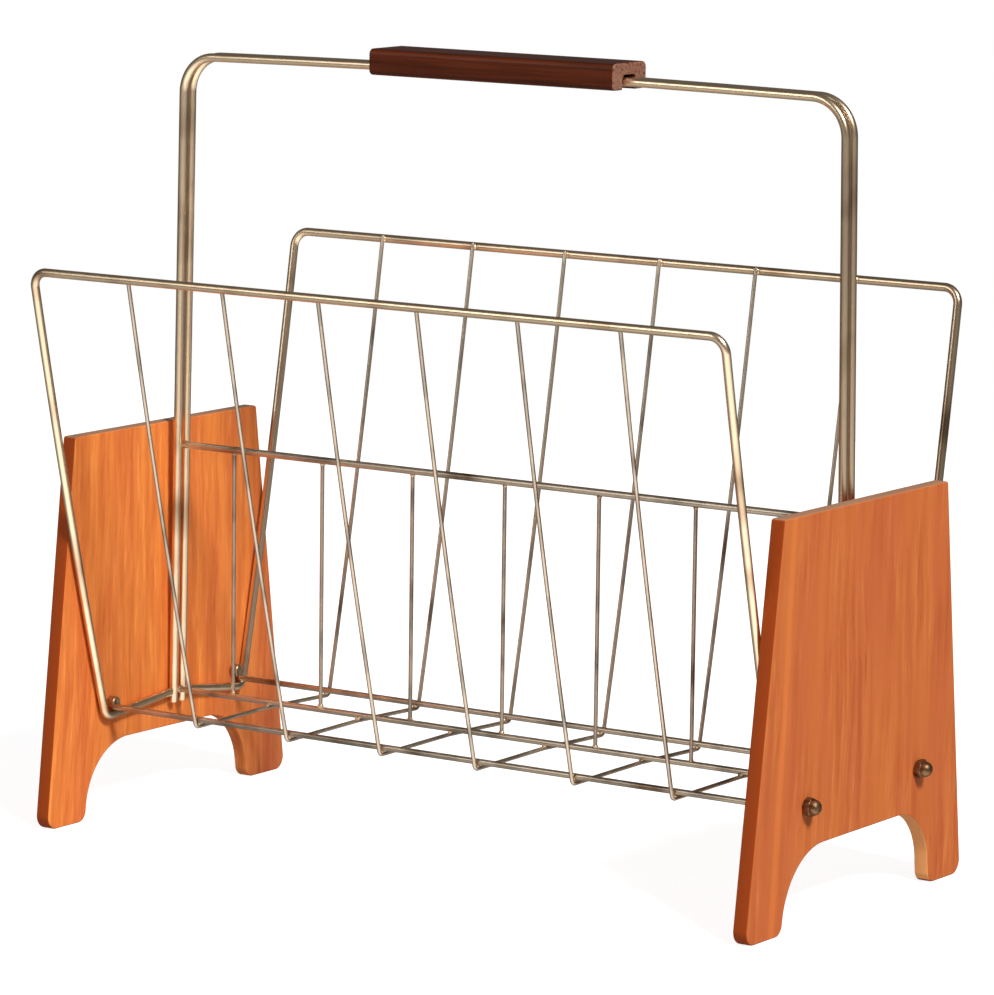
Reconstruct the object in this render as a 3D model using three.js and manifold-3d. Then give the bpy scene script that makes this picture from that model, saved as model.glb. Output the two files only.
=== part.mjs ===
import * as THREE from 'three';
import { mergeVertices } from 'three/addons/utils/BufferGeometryUtils.js';
import Module from 'manifold-3d';

const wasm = await Module();
wasm.setup();

// Driving dimensions, in millimetres.
// The origin is on the floor, midway between the two rails.
// X runs along the length, Y from the front to the rear, and Z up.
const clearance = 0.3; // left wherever two pieces meet

const innerLength = 451; // between the end panels, at the floor
const panelThickness = 8.6;
const panelHeight = 220;
const panelBottomWidth = 224;
const panelTopWidth = 169;
const panelSplay = 2; // how far each panel leans outwards at its top
const panelShift = -1; // the panels stand this far from the middle of the floor rods
const panelTopRadius = 1.6;
const panelEdge = 0.9; // bevel on all panel edges
const footHeelRadius = 7.5; // outer bottom corner of a foot
const footToeRadius = 6.5; // inner bottom corner of a foot
const archBottomWidth = 155;
const archTopWidth = 144;
// The arches are cut by hand: an inset is how much nearer the middle a side stands.
const leftArch = {
	frontHeight: 43.2, frontRadius: 39, frontInset: 0,
	rearHeight: 42.3, rearRadius: 37, rearInset: 2.5,
};
const rightArch = {
	frontHeight: 42.6, frontRadius: 40, frontInset: 1.3,
	rearHeight: 43.4, rearRadius: 33, rearInset: 0.5,
};

const frameWire = 4.8; // diameter of the frames' and the handle's wire
const frontRailReach = 126.5; // from the middle of the basket to the front rail
const frontRailHeight = 317;
const rearRailReach = 113.3;
const rearRailHeight = 320.5;
const frontLeftLean = 1.8; // the front frame's left side leans outwards by this much up to its rail
const rearLeftLean = -1.1; // and the rear frame's left side leans inwards
const railCornerRadius = 9;
const sideBelly = 1.6; // the slanted sides bulge outwards by this much half way up
const bulgeShare = 0.85; // share of a bulging run that the bulge's arc takes up
const runEndHeight = 63.5; // where a frame's lower run meets the handle's feet
const frameBend = 6.3; // radius of a frame's bottom bends, round its bosses
const bendHeight = 64.7; // centre of the front frame's bottom bends
const rearBendDrop = 1.4; // the rear frame's bends lie this much lower

const floorWire = 3.4; // diameter of the three long wires of the floor
const rodReach = 59.4; // from the middle of the basket to the front and rear floor rods
const frontRodSag = 1.2; // the front floor rod lies this far below its frame's bends
const rearRodSag = 0.8;
const centreWireSag = 0.4;

const bossDiameter = 7.2;
const bossLength = 5;
const studDiameter = 4;
const studGrip = 5; // length of stud inside its cap nut
const frontStudInset = 3.4; // the front studs stand this much nearer the middle than their rod
const frontStudRise = 0.4; // and this much higher
const rearStudInset = -0.6;
const rearStudRise = 3.1;

const nutAcrossFlats = 9.4;
const nutHexHeight = 3.8;
const nutDomeDiameter = 9;
const nutHeight = 8.4;

const handleSpacing = 7.8; // between the two handle rods, centre to centre
const handleShift = 2.8; // the handle, divider and centre wire stand this far to the rear
const handleHeight = 429; // at the ends of its bar
const barBulge = 1.8; // the bar bulges upwards by this much
const handleLean = 6.1; // each post leans inwards by this much up to its top
const handleFootHeight = 57;
const handleCornerRadius = 21;

const gripLength = 160;
const gripDepth = 33;
const gripThickness = 14.6;
const gripLip = 2.2; // the grip's underside lies this far below the rods
const gripEdge = 3.2; // rounding of the grip's edges
const grooveHeadroom = 0.9; // the groove's ceiling stands this far above the rods

const ribWire = 2.3;
const ribCount = 6;
const ribMargin = 64.8; // from the frames' sides to the first and the last rib
const frontRibShift = -2.2; // the ribs' front halves stand this far along the length
const frontRibSpread = 0.6; // extra pitch of the ribs' ends along the front rail
const rearRibLean = 1.3; // the ribs' ends at the rear rail stand this far along the length
const ribDip = 0.8; // the ribs hang this far below the front floor rod
const frontRibRise = 0.4; // the ribs' ends stand this far above the front rail's centre line
const rearRibRise = 1.6;
const ribKinkRadius = 12; // soft bend under the centre wire

const dividerRail = 4; // diameter
const dividerHeight = 206.8;
const dividerCount = 6;
const dividerLeftMargin = 40; // from the frames' left side to the first divider wire
const dividerRightMargin = 96; // from the last divider wire to the frames' right side

const wireSides = 12;
const thinWireSides = 8;
const bendSteps = 6;
const thinBendSteps = 4;
const cornerSteps = 8;
const roundSides = 20;
const hexagonSides = 6;

// Sizes that follow from the ones above
const frameRadius = frameWire / 2;
const floorRadius = floorWire / 2;
const ribRadius = ribWire / 2;
const dividerRailRadius = dividerRail / 2;
const bossRadius = bossDiameter / 2;
const sidePlane = innerLength / 2 - clearance - frameRadius; // X of the frames' sides
const splayRate = panelSplay / panelHeight;
const innerFace = (height) => innerLength / 2 + splayRate * height;
const ribPitch = (2 * sidePlane - 2 * ribMargin) / (ribCount - 1);
const dividerPitch = (2 * sidePlane - dividerLeftMargin - dividerRightMargin) / (dividerCount - 1);
const floorSeat = floorRadius + clearance + ribRadius; // from a floor wire to a rib
const railSeat = frameRadius + clearance + ribRadius; // from a rail to a rib
const postX = (height) => {
	const climbed = (height - handleFootHeight) / (handleHeight - handleFootHeight);
	return sidePlane - handleLean * climbed;
};

// The front and the rear half share every rule and differ in these places.
// A place across the basket is a reach from its middle, positive away from it.
const front = {
	facing: -1,
	rail: new THREE.Vector2(frontRailReach, frontRailHeight),
	bend: new THREE.Vector2(rodReach, bendHeight),
	rodSag: frontRodSag,
	dip: ribDip,
	post: handleSpacing / 2 - handleShift,
	ribShift: frontRibShift,
	ribSpread: frontRibSpread,
	ribLean: 0,
	ribRise: frontRibRise,
	leftLean: frontLeftLean,
	stud: new THREE.Vector2(rodReach - frontStudInset, bendHeight + frontStudRise),
};
const rear = {
	facing: 1,
	rail: new THREE.Vector2(rearRailReach, rearRailHeight),
	bend: new THREE.Vector2(rodReach, bendHeight - rearBendDrop),
	rodSag: rearRodSag,
	dip: 0,
	post: handleSpacing / 2 + handleShift,
	ribShift: 0,
	ribSpread: 0,
	ribLean: rearRibLean,
	ribRise: rearRibRise,
	leftLean: rearLeftLean,
	stud: new THREE.Vector2(rodReach - rearStudInset, bendHeight - rearBendDrop + rearStudRise),
};
const halves = { front, rear };
const ends = { left: -1, right: 1 };
const arches = { left: leftArch, right: rightArch };
const floorRod = (half) => new THREE.Vector2(half.bend.x, half.bend.y - half.rodSag);
const centreWireHeight = bendHeight - centreWireSag;

// Finishes
const teak = { color: 0xc46a35, roughness: 0.5, metalness: 0 };
const rosewood = { color: 0x4a1c12, roughness: 0.45, metalness: 0 };
const brassedSteel = { color: 0xb59f7d, roughness: 0.32, metalness: 1 };
const agedBrass = { color: 0x8f7148, roughness: 0.35, metalness: 1 };

const basket = new THREE.Group();

function addPiece(name, geometry, finish) {
	const mesh = new THREE.Mesh(geometry, new THREE.MeshStandardMaterial(finish));
	mesh.name = name;
	basket.add(mesh);
	return mesh;
}

// Plane geometry for the bends, with places as reach and height

function turned(vector, angle) {
	return vector.clone().rotateAround(new THREE.Vector2(), angle);
}

function lineThrough(point, direction) {
	return { point, direction };
}

// The line from a point that touches a circle. A positive side passes it on the left.
function tangentFrom(point, centre, radius, side) {
	const towards = centre.clone().sub(point);
	const swing = side * Math.asin(radius / towards.length());
	return lineThrough(point, turned(towards.normalize(), swing));
}

function meetingPoint(a, b) {
	const gap = b.point.clone().sub(a.point);
	const along = gap.cross(b.direction) / a.direction.cross(b.direction);
	return a.point.clone().addScaledVector(a.direction, along);
}

// The corner, half way down a slanted side, of the arc by which that side bulges
function bellyCorner(half, seat) {
	const down = half.bend.clone().sub(half.rail).normalize();
	const outwards = turned(down, Math.PI / 2);
	return half.rail.clone().lerp(half.bend, 1 / 2).addScaledVector(outwards, seat + 2 * sideBelly);
}

// The radius of the arc by which a run bulges, from half the run's length
function bulgeRadius(reach, bulge) {
	return bulgeShare * reach ** 2 / (2 * bulge);
}

function bellyRadius(half) {
	return bulgeRadius(half.rail.distanceTo(half.bend) / 2, sideBelly);
}

// A wire of straight runs joined by round bends, with a ring only where it needs one
class BentWire extends THREE.Curve {

	constructor(corners, radii, steps) {
		super();
		this.places = [];
		this.headings = [];
		const last = corners.length - 1;
		this.mark(corners[0], corners[1].clone().sub(corners[0]).normalize());
		for (let i = 1; i < last; i++) {
			this.bend(corners[i - 1], corners[i], corners[i + 1], radii[i - 1], steps);
		}
		this.mark(corners[last], corners[last].clone().sub(corners[last - 1]).normalize());
	}

	mark(place, heading) {
		this.places.push(place);
		this.headings.push(heading);
	}

	bend(before, corner, after, radius, steps) {
		const into = corner.clone().sub(before).normalize();
		const out = after.clone().sub(corner).normalize();
		const turn = into.angleTo(out);
		const inwards = out.clone().addScaledVector(into, -Math.cos(turn)).normalize();
		const start = corner.clone().addScaledVector(into, -radius * Math.tan(turn / 2));
		const centre = start.clone().addScaledVector(inwards, radius);
		for (let i = 0; i <= steps; i++) {
			const angle = turn * i / steps;
			const place = centre.clone()
				.addScaledVector(inwards, -radius * Math.cos(angle))
				.addScaledVector(into, radius * Math.sin(angle));
			const heading = into.clone().multiplyScalar(Math.cos(angle))
				.addScaledVector(inwards, Math.sin(angle));
			this.mark(place, heading);
		}
	}

	get rings() {
		return this.places.length - 1;
	}

	getPoint(t) {
		return this.places[Math.round(t * this.rings)].clone();
	}

	getPointAt(t) {
		return this.getPoint(t);
	}

	getTangentAt(t) {
		return this.headings[Math.round(t * this.rings)].clone();
	}

}

function roundSection(diameter, sides) {
	const points = [];
	for (let i = 0; i < sides; i++) {
		const angle = 2 * Math.PI * i / sides;
		points.push(new THREE.Vector2(Math.cos(angle), Math.sin(angle)).multiplyScalar(diameter / 2));
	}
	return new THREE.Shape(points);
}

function wireGeometry(corners, radii, diameter, sides, steps) {
	const path = new BentWire(corners, radii, steps);
	return new THREE.ExtrudeGeometry(roundSection(diameter, sides), {
		steps: path.rings,
		extrudePath: path,
	});
}

function straightWire(from, to, diameter, sides) {
	return wireGeometry([from, to], [], diameter, sides, 1);
}

function place(x, half, point) {
	return new THREE.Vector3(x, half.facing * point.x, point.y);
}

// Solids that are joined or cut

function toSolid(geometry) {
	const bare = geometry.clone();
	bare.deleteAttribute('normal');
	bare.deleteAttribute('uv');
	const merged = mergeVertices(bare);
	return new wasm.Manifold(new wasm.Mesh({
		numProp: 3,
		vertProperties: new Float32Array(merged.attributes.position.array),
		triVerts: new Uint32Array(merged.index.array),
	}));
}

function fromSolid(solid) {
	const mesh = solid.getMesh();
	const geometry = new THREE.BufferGeometry();
	geometry.setAttribute('position', new THREE.BufferAttribute(new Float32Array(mesh.vertProperties), 3));
	geometry.setIndex(new THREE.BufferAttribute(new Uint32Array(mesh.triVerts), 1));
	geometry.computeVertexNormals();
	return geometry;
}

// An outline of straight sides with round corners, as a list of [x, y, radius]
function roundedOutline(corners) {
	const points = [];
	corners.forEach(([x, y, radius], i) => {
		const corner = new THREE.Vector2(x, y);
		const before = corners[(i + corners.length - 1) % corners.length];
		const after = corners[(i + 1) % corners.length];
		const into = corner.clone().sub(new THREE.Vector2(before[0], before[1])).normalize();
		const out = new THREE.Vector2(after[0], after[1]).sub(corner).normalize();
		if (radius === 0) {
			points.push(corner);
			return;
		}
		const turn = Math.atan2(into.cross(out), into.dot(out));
		const inwards = turned(into, Math.sign(turn) * Math.PI / 2);
		const start = corner.clone().addScaledVector(into, -radius * Math.tan(Math.abs(turn) / 2));
		const centre = start.clone().addScaledVector(inwards, radius);
		for (let step = 0; step <= cornerSteps; step++) {
			points.push(start.clone().rotateAround(centre, turn * step / cornerSteps));
		}
	});
	return points;
}

// End panels, drawn in Y and Z and thickened along X

function panelOutline(arch) {
	const bottom = panelBottomWidth / 2;
	const top = panelTopWidth / 2;
	const archBottom = archBottomWidth / 2;
	const archTop = archTopWidth / 2;
	return roundedOutline([
		[-bottom, 0, footHeelRadius],
		[arch.frontInset - archBottom, 0, footToeRadius],
		[arch.frontInset - archTop, arch.frontHeight, arch.frontRadius],
		[archTop - arch.rearInset, arch.rearHeight, arch.rearRadius],
		[archBottom - arch.rearInset, 0, footToeRadius],
		[bottom, 0, footHeelRadius],
		[top, panelHeight, panelTopRadius],
		[-top, panelHeight, panelTopRadius],
	]);
}

function studHole(half) {
	const hole = new THREE.Path();
	const radius = studDiameter / 2 + clearance;
	hole.absarc(half.facing * half.stud.x - panelShift, half.stud.y, radius, 0, 2 * Math.PI);
	return hole;
}

function endPanel(side, arch) {
	const shape = new THREE.Shape(panelOutline(arch));
	shape.holes.push(studHole(front), studHole(rear));
	const geometry = new THREE.ExtrudeGeometry(shape, {
		depth: panelThickness - 2 * panelEdge,
		curveSegments: roundSides / 2,
		bevelThickness: panelEdge,
		bevelSize: panelEdge,
		bevelOffset: -panelEdge,
		bevelSegments: 2,
	});
	geometry.translate(0, 0, panelEdge - (side < 0 ? panelThickness : 0));
	geometry.applyMatrix4(new THREE.Matrix4().makeBasis(
		new THREE.Vector3(0, 1, 0), new THREE.Vector3(0, 0, 1), new THREE.Vector3(1, 0, 0)));
	// The panel leans outwards, and its feet stay level.
	geometry.applyMatrix4(new THREE.Matrix4().set(
		1, 0, side * splayRate, 0,
		0, 1, 0, 0,
		0, 0, 1, 0,
		0, 0, 0, 1));
	return geometry;
}

for (const [name, side] of Object.entries(ends)) {
	const panel = addPiece(`${name}_end_panel`, endPanel(side, arches[name]), teak);
	panel.position.set(side * innerLength / 2, panelShift, 0);
}

// Studs, cap nuts and the bosses that the frames are welded to

function lathed(profile) {
	const geometry = new THREE.LatheGeometry(profile.map(([x, y]) => new THREE.Vector2(x, y)), roundSides);
	geometry.rotateZ(-Math.PI / 2); // the lathe's axis now runs along X
	return geometry;
}

// A boss starts at the panel's inner face and its stud passes through the panel.
function studBoss() {
	const stud = studDiameter / 2;
	const studEnd = clearance + panelThickness + clearance + studGrip;
	return lathed([
		[0, -bossLength],
		[bossRadius, -bossLength],
		[bossRadius, 0],
		[stud, 0],
		[stud, studEnd],
		[0, studEnd],
	]);
}

function capNut() {
	const domeRadius = nutDomeDiameter / 2;
	const crown = nutHeight - nutHexHeight;
	const profile = [[0, 0], [domeRadius, 0]];
	for (let i = 0; i < cornerSteps; i++) {
		const angle = Math.PI / 2 * i / cornerSteps;
		profile.push([domeRadius * Math.cos(angle), nutHexHeight + crown * Math.sin(angle)]);
	}
	profile.push([0, nutHeight]);
	const acrossCorners = nutAcrossFlats / Math.cos(Math.PI / hexagonSides);
	const hexagon = new THREE.CylinderGeometry(acrossCorners / 2, acrossCorners / 2, nutHexHeight, hexagonSides);
	hexagon.translate(0, nutHexHeight / 2, 0);
	hexagon.rotateZ(-Math.PI / 2);
	const bore = studDiameter / 2 + clearance;
	const boreEnd = studGrip + clearance;
	const hole = lathed([[0, -clearance], [bore, -clearance], [bore, boreEnd], [0, boreEnd]]);
	return fromSolid(toSolid(lathed(profile)).add(toSolid(hexagon)).subtract(toSolid(hole)));
}

function facingOutwards(mesh, side, x, y, z) {
	mesh.rotation.z = side > 0 ? 0 : Math.PI;
	mesh.position.set(side * x, y, z);
}

const bossFace = (half) => innerFace(half.stud.y) - clearance;
for (const [endName, side] of Object.entries(ends)) {
	for (const [halfName, half] of Object.entries(halves)) {
		const y = half.facing * half.stud.x;
		const z = half.stud.y;
		const boss = addPiece(`${endName}_${halfName}_stud_boss`, studBoss(), brassedSteel);
		facingOutwards(boss, side, bossFace(half), y, z);
		const nut = addPiece(`${endName}_${halfName}_cap_nut`, capNut(), agedBrass);
		facingOutwards(nut, side, innerFace(z) + panelThickness + clearance, y, z);
	}
}

// Frames: each is one wire from foot to foot of its handle rod, round both ends and over its rail

function frameCorners(half) {
	const runEnd = new THREE.Vector2(half.post + frameRadius + clearance, runEndHeight);
	const belly = bellyCorner(half, frameBend / 2);
	const slant = tangentFrom(belly, half.bend, frameBend, 1);
	const run = tangentFrom(runEnd, half.bend, frameBend, -1);
	return [runEnd, meetingPoint(slant, run), belly, half.rail];
}

function frameSide(half, side, lean) {
	const leanShares = [0, 0, 1 / 2, 1]; // a share for each of the frame's corners
	return frameCorners(half).map((corner, i) => place(side * (sidePlane + lean * leanShares[i]), half, corner));
}

function frameWireGeometry(half) {
	const radii = [frameBend, bellyRadius(half), railCornerRadius];
	return wireGeometry([
		...frameSide(half, -1, half.leftLean),
		...frameSide(half, 1, 0).reverse(),
	], [...radii, ...radii.reverse()], frameWire, wireSides, bendSteps);
}

for (const [name, half] of Object.entries(halves)) {
	addPiece(`${name}_frame_wire`, frameWireGeometry(half), brassedSteel);
}

// Handle: two rods side by side, each bent over square, with a bar that bulges upwards

const barReach = postX(handleHeight); // half the bar's length
const barCorner = handleHeight + 2 * barBulge; // height of the corner of the bulge's arc
const barRadius = bulgeRadius(barReach, barBulge);
const arcDrop = barRadius * (Math.hypot(1, 2 * barBulge / barReach) - 1);
const barCrown = barCorner - arcDrop; // the bar's highest centre line

function handleRodGeometry(half) {
	const y = half.facing * half.post;
	const corners = [
		new THREE.Vector3(-sidePlane, y, handleFootHeight),
		new THREE.Vector3(-barReach, y, handleHeight),
		new THREE.Vector3(0, y, barCorner),
		new THREE.Vector3(barReach, y, handleHeight),
		new THREE.Vector3(sidePlane, y, handleFootHeight),
	];
	const radii = [handleCornerRadius, barRadius, handleCornerRadius];
	return wireGeometry(corners, radii, frameWire, wireSides, bendSteps + 2);
}

for (const [name, half] of Object.entries(halves)) {
	addPiece(`${name}_handle_rod`, handleRodGeometry(half), brassedSteel);
}

// Grip: a rounded bar with a groove in its underside that holds both rods by their flanks

function gripOutline() {
	const halfDepth = gripDepth / 2;
	const underside = -frameRadius - gripLip;
	const top = underside + gripThickness;
	const groove = handleSpacing / 2 + frameRadius + clearance;
	const ceiling = frameRadius + grooveHeadroom;
	const grooveCorner = frameRadius + clearance;
	return roundedOutline([
		[-halfDepth, underside, gripEdge],
		[-groove, underside, 0],
		[-groove, ceiling, grooveCorner],
		[groove, ceiling, grooveCorner],
		[groove, underside, 0],
		[halfDepth, underside, gripEdge],
		[halfDepth, top, gripEdge],
		[-halfDepth, top, gripEdge],
	]);
}

function gripGeometry() {
	const bevel = gripEdge / 2;
	const geometry = new THREE.ExtrudeGeometry(new THREE.Shape(gripOutline()), {
		depth: gripLength - 2 * bevel,
		bevelThickness: bevel,
		bevelSize: bevel,
		bevelOffset: -bevel,
		bevelSegments: 3,
	});
	geometry.translate(0, 0, bevel - gripLength / 2);
	geometry.applyMatrix4(new THREE.Matrix4().makeBasis(
		new THREE.Vector3(0, 1, 0), new THREE.Vector3(0, 0, 1), new THREE.Vector3(1, 0, 0)));
	return geometry;
}

addPiece('handle_grip', gripGeometry(), rosewood).position.set(0, handleShift, barCrown);

// Floor: two rods between the bosses, and a centre wire between the handle's feet

for (const [name, half] of Object.entries(halves)) {
	const reach = bossFace(half) - bossLength - clearance;
	const rod = floorRod(half);
	const geometry = straightWire(place(-reach, half, rod), place(reach, half, rod), floorWire, thinWireSides);
	addPiece(`${name}_floor_rod`, geometry, brassedSteel);
}

// How far a wire between the two posts of an end stops short of their centre line
function stopBeforePosts(radius) {
	const overlap = Math.max(handleSpacing / 2 - radius, 0);
	return Math.sqrt(Math.max(frameRadius ** 2 - overlap ** 2, 0)) + clearance;
}

function wireBetweenPosts(diameter, height) {
	const reach = postX(height) - stopBeforePosts(diameter / 2);
	return straightWire(new THREE.Vector3(-reach, handleShift, height),
		new THREE.Vector3(reach, handleShift, height), diameter, thinWireSides);
}

addPiece('centre_floor_wire', wireBetweenPosts(floorWire, centreWireHeight), brassedSteel);

// Ribs: each is one wire from rail to rail, under the three floor wires

function ribHalf(half, fromMiddle) {
	const belly = bellyCorner(half, (floorSeat - railSeat) / 2);
	const rise = tangentFrom(belly, half.rail, railSeat, 1);
	const climb = Math.sqrt(belly.distanceToSquared(half.rail) - railSeat ** 2) + half.ribRise;
	const tip = belly.clone().addScaledVector(rise.direction, climb);
	const rod = floorRod(half);
	const slant = tangentFrom(belly, rod, floorSeat, 1);
	const underRod = new THREE.Vector2(rod.x, rod.y - floorSeat - half.dip);
	const underCentre = new THREE.Vector2(half.facing * handleShift, centreWireHeight - floorSeat);
	const low = meetingPoint(slant, lineThrough(underCentre, underRod.sub(underCentre)));
	const lowX = fromMiddle * ribPitch + half.ribShift;
	const tipX = lowX + fromMiddle * half.ribSpread + half.ribLean;
	return [
		place(lowX, half, low),
		place((lowX + tipX) / 2, half, belly),
		place(tipX, half, tip),
	];
}

function ribGeometry(fromMiddle) {
	const centre = new THREE.Vector3(fromMiddle * ribPitch, handleShift, centreWireHeight - floorSeat);
	return wireGeometry([
		...ribHalf(front, fromMiddle).reverse(),
		centre,
		...ribHalf(rear, fromMiddle),
	], [
		bellyRadius(front),
		floorSeat,
		ribKinkRadius,
		floorSeat,
		bellyRadius(rear),
	], ribWire, thinWireSides, thinBendSteps);
}

for (let i = 0; i < ribCount; i++) {
	const fromMiddle = i - (ribCount - 1) / 2;
	addPiece(`rib_wire_${i + 1}`, ribGeometry(fromMiddle), brassedSteel);
}

// Divider: a rail between the posts, carried by wires that stand on the centre wire

addPiece('divider_rail', wireBetweenPosts(dividerRail, dividerHeight), brassedSteel);

for (let i = 0; i < dividerCount; i++) {
	const x = dividerLeftMargin - sidePlane + i * dividerPitch;
	const foot = new THREE.Vector3(x, handleShift, centreWireHeight + floorRadius + clearance);
	const tip = new THREE.Vector3(x, handleShift, dividerHeight - dividerRailRadius - clearance);
	addPiece(`divider_wire_${i + 1}`, straightWire(foot, tip, ribWire, thinWireSides), brassedSteel);
}

// The sizes above count from the middle of the floor rods, the origin from between the rails.
basket.position.y = (frontRailReach - rearRailReach) / 2;

export default basket;
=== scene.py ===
import math

import bmesh
import bpy
from mathutils import Matrix, Vector


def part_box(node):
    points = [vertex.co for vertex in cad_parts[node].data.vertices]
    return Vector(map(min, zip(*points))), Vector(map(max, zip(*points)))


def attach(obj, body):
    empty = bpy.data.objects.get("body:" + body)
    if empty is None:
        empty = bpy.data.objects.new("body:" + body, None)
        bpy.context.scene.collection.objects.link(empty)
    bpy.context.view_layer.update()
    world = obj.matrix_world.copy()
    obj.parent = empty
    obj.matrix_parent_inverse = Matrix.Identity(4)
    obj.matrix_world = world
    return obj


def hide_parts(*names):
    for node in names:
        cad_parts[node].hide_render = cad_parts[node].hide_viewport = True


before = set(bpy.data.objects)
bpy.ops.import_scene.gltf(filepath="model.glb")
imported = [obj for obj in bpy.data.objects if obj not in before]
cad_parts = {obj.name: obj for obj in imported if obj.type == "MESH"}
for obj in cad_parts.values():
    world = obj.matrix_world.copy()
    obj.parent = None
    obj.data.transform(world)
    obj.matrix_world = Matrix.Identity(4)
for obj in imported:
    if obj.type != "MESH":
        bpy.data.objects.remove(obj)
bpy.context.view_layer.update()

bl_info = {
    "name": "Magazine basket",
    "version": (1, 0, 0),
    "blender": (4, 5, 0),
    "location": "View3D > Sidebar > Basket",
    "description": "Builds a magazine basket of brass-plated wire and teak around its CAD frame",
    "category": "Object",
}

MM = 0.001


# Measures and colours

def linear(hex_colour):
    """Turn an sRGB hex colour into a linear RGBA tuple."""
    channels = [int(hex_colour[i:i + 2], 16) / 255 for i in (1, 3, 5)]
    return tuple(c / 12.92 if c <= 0.04045 else ((c + 0.055) / 1.055) ** 2.4 for c in channels) + (1.0,)


def box(node):
    """Return a CAD node's lowest and highest corners, in metres."""
    return [Vector(corner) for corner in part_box(node)]


def span(node, axis):
    """Measure a CAD node along X, Y or Z, in metres."""
    low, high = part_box(node)
    index = "XYZ".index(axis)
    return high[index] - low[index]


def middle(node):
    """Return the middle of a CAD node's box."""
    low, high = box(node)
    return (low + high) / 2


def like(start):
    """Name the CAD nodes whose names start alike."""
    return [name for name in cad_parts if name.startswith(start)]


def length(name, description, default):
    return bpy.props.FloatProperty(name=name, description=description, default=default,
                                   unit="LENGTH", precision=5)


def pair(name, description, front, rear):
    return bpy.props.FloatVectorProperty(name=name, description=description + ", at front and rear",
                                         size=2, unit="LENGTH", precision=5,
                                         default=(front * MM, rear * MM))


def angle(name, description, default):
    return bpy.props.FloatProperty(name=name, description=description, default=default, subtype="ANGLE")


def count(name, description, default):
    return bpy.props.IntProperty(name=name, description=description, default=default, min=6)


def colour(name, description, default):
    return bpy.props.FloatVectorProperty(name=name, description=description, size=4, min=0.0, max=1.0,
                                         subtype="COLOR", default=linear(default))


class WireSizes(bpy.types.PropertyGroup):
    frame_wire: length("Frame wire", "Diameter of the frames' and the handle's wire",
                       span("front_handle_rod", "Y"))
    floor_wire: length("Floor wire", "Diameter of the three long floor wires",
                       span("centre_floor_wire", "Y"))
    thin_wire: length("Thin wire", "Diameter of the ribs and the divider's uprights",
                      span("divider_wire_1", "Y"))
    divider_rail: length("Divider rail", "Diameter of the divider's rail", span("divider_rail", "Y"))
    weld_bead: length("Weld bead", "Radius of the bead where two wires are welded", 1.45 * MM)
    sides: count("Sides", "Sides of a thick wire's round section", 28)
    thin_sides: count("Thin sides", "Sides of a thin wire's round section", 18)


class WoodSizes(bpy.types.PropertyGroup):
    panel_bottom: length("Panel bottom", "Width of an end panel at the floor", 224 * MM)
    panel_top: length("Panel top", "Width of an end panel at its top", 169 * MM)
    panel_edge: length("Panel edge", "Rounding of the panels' edges", 0.8 * MM)
    foot_heel: length("Foot heel", "Radius of a foot's outer corner", 7.5 * MM)
    foot_toe: length("Foot toe", "Radius of a foot's inner corner", 6.5 * MM)
    top_corner: length("Top corner", "Radius of a panel's top corners", 1.6 * MM)
    arch_bottom: length("Arch bottom", "Width of the arch at the floor", 155 * MM)
    arch_top: length("Arch top", "Width of the arch at its ceiling", 144 * MM)
    left_arch: pair("Left arch", "Height of the left arch", 43.2, 42.3)
    right_arch: pair("Right arch", "Height of the right arch", 42.6, 43.4)
    left_corner: pair("Left corners", "Radius of the left arch's corners", 39, 37)
    right_corner: pair("Right corners", "Radius of the right arch's corners", 40, 33)
    left_inset: pair("Left inset", "How much nearer the middle the left arch's sides stand", 0, 2.5)
    right_inset: pair("Right inset", "How much nearer the middle the right arch's sides stand", 1.3, 0.5)
    splay: length("Splay", "How far a panel leans outwards at its top", 2 * MM)
    hole: length("Hole", "Diameter of the holes for the studs", 4.6 * MM)
    grip_edge: length("Grip edge", "Rounding of the grip's long edges", 3.2 * MM)
    grip_end: length("Grip end", "Rounding of the grip's sawn ends", 1.1 * MM)
    grip_lip: length("Grip lip", "Depth of the grip below the handle rods", 2.2 * MM)
    groove_room: length("Groove room", "Room over the rods in the grip's groove", 0.9 * MM)
    groove_play: length("Groove play", "Room beside the rods in the grip's groove", 0.3 * MM)


class NutSizes(bpy.types.PropertyGroup):
    flats: length("Across flats", "Width of the cap nut's hexagon", 9.4 * MM)
    hexagon: length("Hexagon height", "Height of the cap nut's hexagon", 3.8 * MM)
    dome: length("Dome", "Diameter of the cap nut's dome", 8.8 * MM)
    height: length("Height", "Height of the whole cap nut", 8.4 * MM)
    stud: length("Stud", "Diameter of the stud", 4 * MM)
    boss: length("Boss length", "How far a boss reaches in from its panel", 5 * MM)
    trim: length("Trim", "How far the hexagon's corners are turned down", 0.9 * MM)
    ease: length("Ease", "Turned edge of a boss and a stud", 0.4 * MM)


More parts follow.
